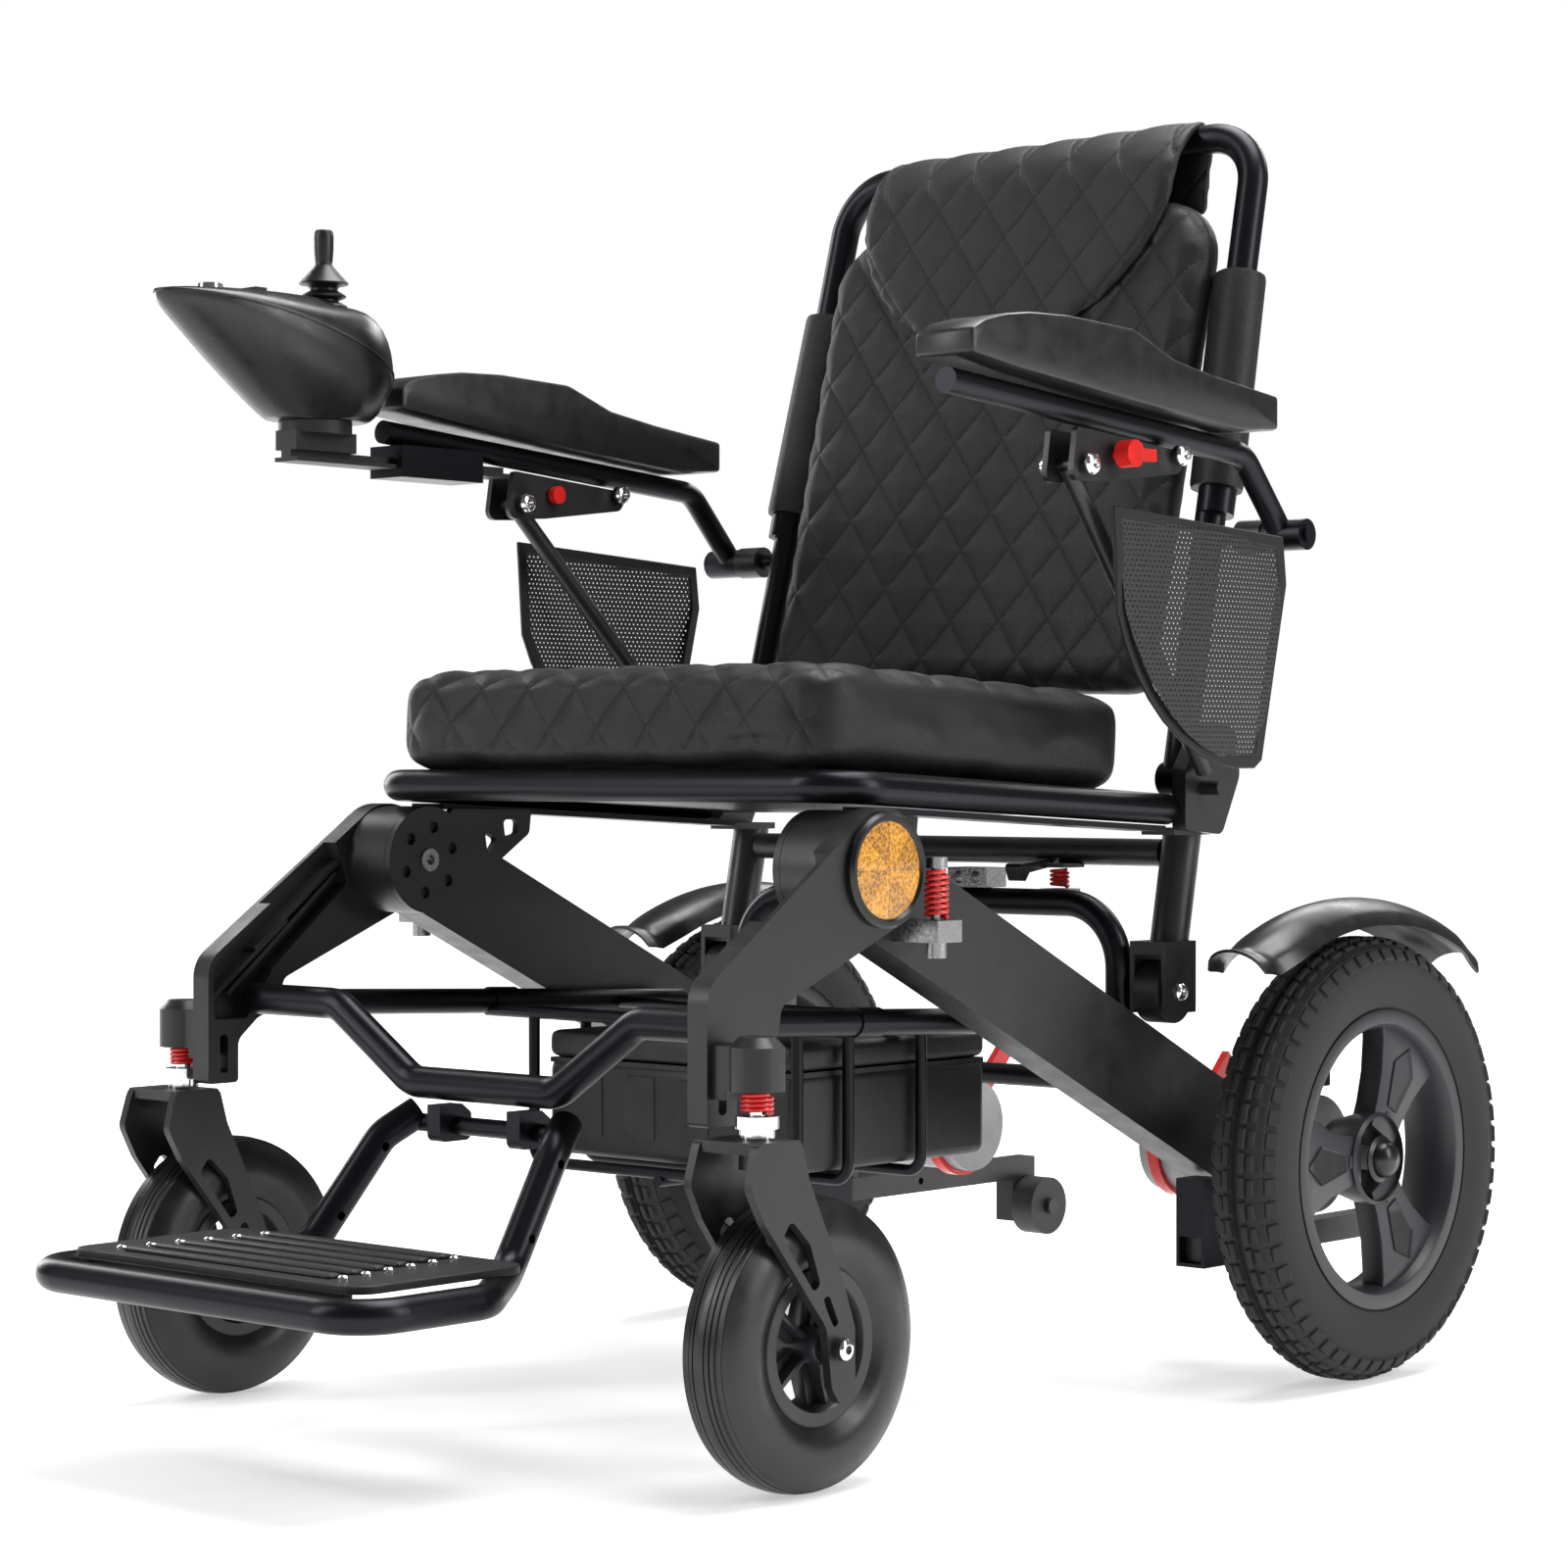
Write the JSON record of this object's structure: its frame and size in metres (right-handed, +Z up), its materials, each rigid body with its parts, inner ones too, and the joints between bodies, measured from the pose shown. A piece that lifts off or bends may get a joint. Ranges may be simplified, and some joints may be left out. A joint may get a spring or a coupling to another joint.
{
  "type": "power wheelchair",
  "caption": "Folding power wheelchair with padded seat and back, flip-up armrests, joystick, sprung casters, drive wheels and a fold-up footrest.",
  "frame": {"origin": "on the ground, at the middle of the chair's footprint box", "axes": "+Z up, -Y is the chair's front, +X is the chair's left"},
  "size_m": [0.636, 1.106, 0.9217],
  "materials": {
    "gloss_black_tube": "gloss powder coat",
    "satin_black_metal": "satin powder coat",
    "bright_hardware": "plated",
    "red_spring": "gloss",
    "red_plastic": "gloss",
    "motor_grey": "satin",
    "amber_lens": "prismatic",
    "tyre_rubber": "matt",
    "rim_black": "satin",
    "black_plastic": "fine grain",
    "stick_rubber": "matt",
    "quilted_leather": "quilted, fine grain",
    "arm_pad_foam": "skinned foam",
    "black_mesh": "open net"
  },
  "bodies": {
    "rear_frame": {"rear_arms": "satin_black_metal", "rear_cross_members": "gloss_black_tube", "drive_motors": "motor_grey", "fenders": "black_plastic", "pivot_hardware": "bright_hardware", "suspension_springs": "red_spring"},
    "front_leg_frame": {"front_legs": "satin_black_metal", "front_cross_tube": "gloss_black_tube", "reflectors": "amber_lens"},
    "footrest": {"footrest_frame": "gloss_black_tube", "footplate": "black_plastic"},
    "battery_carrier": {"battery_cradle": "gloss_black_tube", "battery_case": "black_plastic"},
    "seat": {"seat_frame": "gloss_black_tube", "seat_brackets": "satin_black_metal", "seat_cushion": "quilted_leather"},
    "backrest": {"back_frame": "gloss_black_tube", "back_cushion": "quilted_leather", "head_pad": "quilted_leather"},
    "joystick_housing": {"joystick_rail": "black_plastic", "joystick_base": "black_plastic", "joystick_cover": "black_plastic"},
    "joystick_gimbal": {"joystick_gimbal": "black_plastic"},
    "joystick_stick": {"joystick_stick": "stick_rubber"},
    "power_button": {"power_button": "red_plastic"},
    "speed_rocker": {"speed_rocker": "black_plastic"},
    "left_caster_stem": {"caster_stem_left": "bright_hardware", "caster_spring_left": "red_spring"},
    "left_caster_fork": {"caster_fork_left": "satin_black_metal"},
    "left_caster_wheel": {"caster_tyre_left": "tyre_rubber", "caster_rim_left": "rim_black"},
    "left_drive_wheel": {"rear_tyre_left": "tyre_rubber", "rear_rim_left": "rim_black"},
    "left_post_roller": {"post_roller_left": "black_plastic"},
    "left_arm_hub": {"arm_hub_left": "satin_black_metal", "arm_bracket_left": "satin_black_metal", "mesh_pocket_left": "black_mesh"},
    "left_armrest": {"arm_tube_left": "gloss_black_tube", "arm_pad_left": "arm_pad_foam"},
    "left_arm_lock": {"arm_lock_left": "red_plastic"},
    "left_antitip_arm": {"antitip_arm_left": "satin_black_metal"},
    "left_antitip_wheel": {"antitip_wheel_left": "black_plastic"},
    "left_clutch_lever": {"clutch_lever_left": "red_plastic"},
    "right_caster_stem": {"caster_stem_right": "bright_hardware", "caster_spring_right": "red_spring"},
    "right_caster_fork": {"caster_fork_right": "satin_black_metal"},
    "right_caster_wheel": {"caster_tyre_right": "tyre_rubber", "caster_rim_right": "rim_black"},
    "right_drive_wheel": {"rear_tyre_right": "tyre_rubber", "rear_rim_right": "rim_black"},
    "right_post_roller": {"post_roller_right": "black_plastic"},
    "right_arm_hub": {"arm_hub_right": "satin_black_metal", "arm_bracket_right": "satin_black_metal", "mesh_pocket_right": "black_mesh"},
    "right_armrest": {"arm_tube_right": "gloss_black_tube", "arm_pad_right": "arm_pad_foam"},
    "right_arm_lock": {"arm_lock_right": "red_plastic"},
    "right_antitip_arm": {"antitip_arm_right": "satin_black_metal"},
    "right_antitip_wheel": {"antitip_wheel_right": "black_plastic"},
    "right_clutch_lever": {"clutch_lever_right": "red_plastic"}
  },
  "joints": [
    {"name": "front_leg_fold", "type": "hinge", "parent": "rear_frame", "child": "front_leg_frame", "pos_m": [0, -0.1843, 0.3685], "axis": [1, 0, 0], "range_deg": [0, 42]},
    {"name": "battery_slide", "type": "slide", "parent": "rear_frame", "child": "battery_carrier", "axis": [0, 1, 0], "range_m": [0, 0.058]},
    {"name": "seat_lift", "type": "hinge", "parent": "rear_frame", "child": "seat", "pos_m": [0, -0.1843, 0.3685], "axis": [1, 0, 0], "range_deg": [0, 26]},
    {"name": "footrest_flip", "type": "hinge", "parent": "front_leg_frame", "child": "footrest", "pos_m": [0, -0.295, 0.2], "axis": [1, 0, 0], "range_deg": [-42, 0]},
    {"name": "backrest_fold", "type": "hinge", "parent": "seat", "child": "backrest", "pos_m": [0, 0.1727, 0.425], "axis": [1, 0, 0], "range_deg": [0, 80], "deforming": ["seat_cushion", "back_cushion"]},
    {"name": "left_caster_spring_travel", "type": "slide", "parent": "front_leg_frame", "child": "left_caster_stem", "axis": [0, 0, 1], "range_m": [0, 0.008], "stiffness_N_per_m": 15000, "springref_m": -0.012, "deforming": ["caster_spring_left"]},
    {"name": "left_caster_swivel", "type": "hinge", "parent": "left_caster_stem", "child": "left_caster_fork", "pos_m": [0.2653, -0.332, 0.214], "axis": [0, 0, 1], "continuous": true},
    {"name": "left_caster_spin", "type": "hinge", "parent": "left_caster_fork", "child": "left_caster_wheel", "pos_m": [0.2653, -0.2946, 0.089], "axis": [1, 0, 0], "continuous": true},
    {"name": "left_drive_wheel_spin", "type": "hinge", "parent": "rear_frame", "child": "left_drive_wheel", "pos_m": [0.2884, 0.277, 0.157], "axis": [1, 0, 0], "continuous": true},
    {"name": "left_post_roller_spin", "type": "hinge", "parent": "seat", "child": "left_post_roller", "pos_m": [0.205, 0.157, 0.2766], "axis": [1, 0, 0], "continuous": true},
    {"name": "left_arm_level", "type": "hinge", "parent": "backrest", "child": "left_arm_hub", "pos_m": [0.239, 0.22, 0.596], "axis": [1, 0, 0], "range_deg": [-82, 0]},
    {"name": "left_armrest_flip", "type": "hinge", "parent": "left_arm_hub", "child": "left_armrest", "pos_m": [0.262, 0.22, 0.596], "axis": [1, 0, 0], "range_deg": [-80, 0]},
    {"name": "left_arm_lock_turn", "type": "hinge", "parent": "left_arm_hub", "child": "left_arm_lock", "pos_m": [0.285, 0.007, 0.638], "axis": [1, 0, 0], "range_deg": [0, 90]},
    {"name": "left_antitip_slide", "type": "slide", "parent": "rear_frame", "child": "left_antitip_arm", "axis": [0, 1, 0], "range_m": [0, 0.05]},
    {"name": "left_antitip_spin", "type": "hinge", "parent": "left_antitip_arm", "child": "left_antitip_wheel", "pos_m": [0.193, 0.529, 0.063], "axis": [1, 0, 0], "continuous": true},
    {"name": "left_clutch_turn", "type": "hinge", "parent": "rear_frame", "child": "left_clutch_lever", "pos_m": [0.1365, 0.277, 0.157], "axis": [1, 0, 0], "range_deg": [0, 35]},
    {"name": "right_caster_spring_travel", "type": "slide", "parent": "front_leg_frame", "child": "right_caster_stem", "axis": [0, 0, 1], "range_m": [0, 0.008], "stiffness_N_per_m": 15000, "springref_m": -0.012, "deforming": ["caster_spring_right"]},
    {"name": "right_caster_swivel", "type": "hinge", "parent": "right_caster_stem", "child": "right_caster_fork", "pos_m": [-0.2653, -0.332, 0.214], "axis": [0, 0, 1], "continuous": true},
    {"name": "right_caster_spin", "type": "hinge", "parent": "right_caster_fork", "child": "right_caster_wheel", "pos_m": [-0.2653, -0.2946, 0.089], "axis": [1, 0, 0], "continuous": true},
    {"name": "right_drive_wheel_spin", "type": "hinge", "parent": "rear_frame", "child": "right_drive_wheel", "pos_m": [-0.2884, 0.277, 0.157], "axis": [1, 0, 0], "continuous": true},
    {"name": "right_post_roller_spin", "type": "hinge", "parent": "seat", "child": "right_post_roller", "pos_m": [-0.205, 0.157, 0.2766], "axis": [1, 0, 0], "continuous": true},
    {"name": "right_arm_level", "type": "hinge", "parent": "backrest", "child": "right_arm_hub", "pos_m": [-0.239, 0.22, 0.596], "axis": [1, 0, 0], "range_deg": [-82, 0]},
    {"name": "right_armrest_flip", "type": "hinge", "parent": "right_arm_hub", "child": "right_armrest", "pos_m": [-0.262, 0.22, 0.596], "axis": [1, 0, 0], "range_deg": [-80, 0]},
    {"name": "right_arm_lock_turn", "type": "hinge", "parent": "right_arm_hub", "child": "right_arm_lock", "pos_m": [-0.285, 0.007, 0.638], "axis": [1, 0, 0], "range_deg": [0, 90]},
    {"name": "right_antitip_slide", "type": "slide", "parent": "rear_frame", "child": "right_antitip_arm", "axis": [0, 1, 0], "range_m": [0, 0.05]},
    {"name": "right_antitip_spin", "type": "hinge", "parent": "right_antitip_arm", "child": "right_antitip_wheel", "pos_m": [-0.193, 0.529, 0.063], "axis": [1, 0, 0], "continuous": true},
    {"name": "right_clutch_turn", "type": "hinge", "parent": "rear_frame", "child": "right_clutch_lever", "pos_m": [-0.0745, 0.277, 0.157], "axis": [1, 0, 0], "range_deg": [0, 35]},
    {"name": "joystick_reach", "type": "slide", "parent": "right_armrest", "child": "joystick_housing", "axis": [0, -1, 0], "range_m": [0, 0.04]},
    {"name": "stick_fore_aft", "type": "hinge", "parent": "joystick_housing", "child": "joystick_gimbal", "pos_m": [-0.258, -0.212, 0.748], "axis": [1, 0, 0], "range_deg": [-18, 18], "stiffness_Nm_per_rad": 0.6},
    {"name": "stick_side_to_side", "type": "hinge", "parent": "joystick_gimbal", "child": "joystick_stick", "pos_m": [-0.258, -0.212, 0.748], "axis": [0, 1, 0], "range_deg": [-18, 18], "stiffness_Nm_per_rad": 0.6},
    {"name": "power_button_press", "type": "slide", "parent": "joystick_housing", "child": "power_button", "axis": [0, 0, -1], "range_m": [0, 0.0012], "stiffness_N_per_m": 600, "springref_m": -0.001},
    {"name": "speed_rocker_tilt", "type": "hinge", "parent": "joystick_housing", "child": "speed_rocker", "pos_m": [-0.258, -0.281, 0.759], "axis": [0, 1, 0], "range_deg": [-4, 4], "stiffness_Nm_per_rad": 0.4}
  ],
  "couplings": [
    {"joint": "battery_slide", "follows": "front_leg_fold", "m_per_rad": 0.076},
    {"joint": "seat_lift", "follows": "front_leg_fold", "ratio": 0.6},
    {"joint": "left_arm_level", "follows": "backrest_fold", "ratio": -1},
    {"joint": "right_arm_level", "follows": "backrest_fold", "ratio": -1}
  ]
}
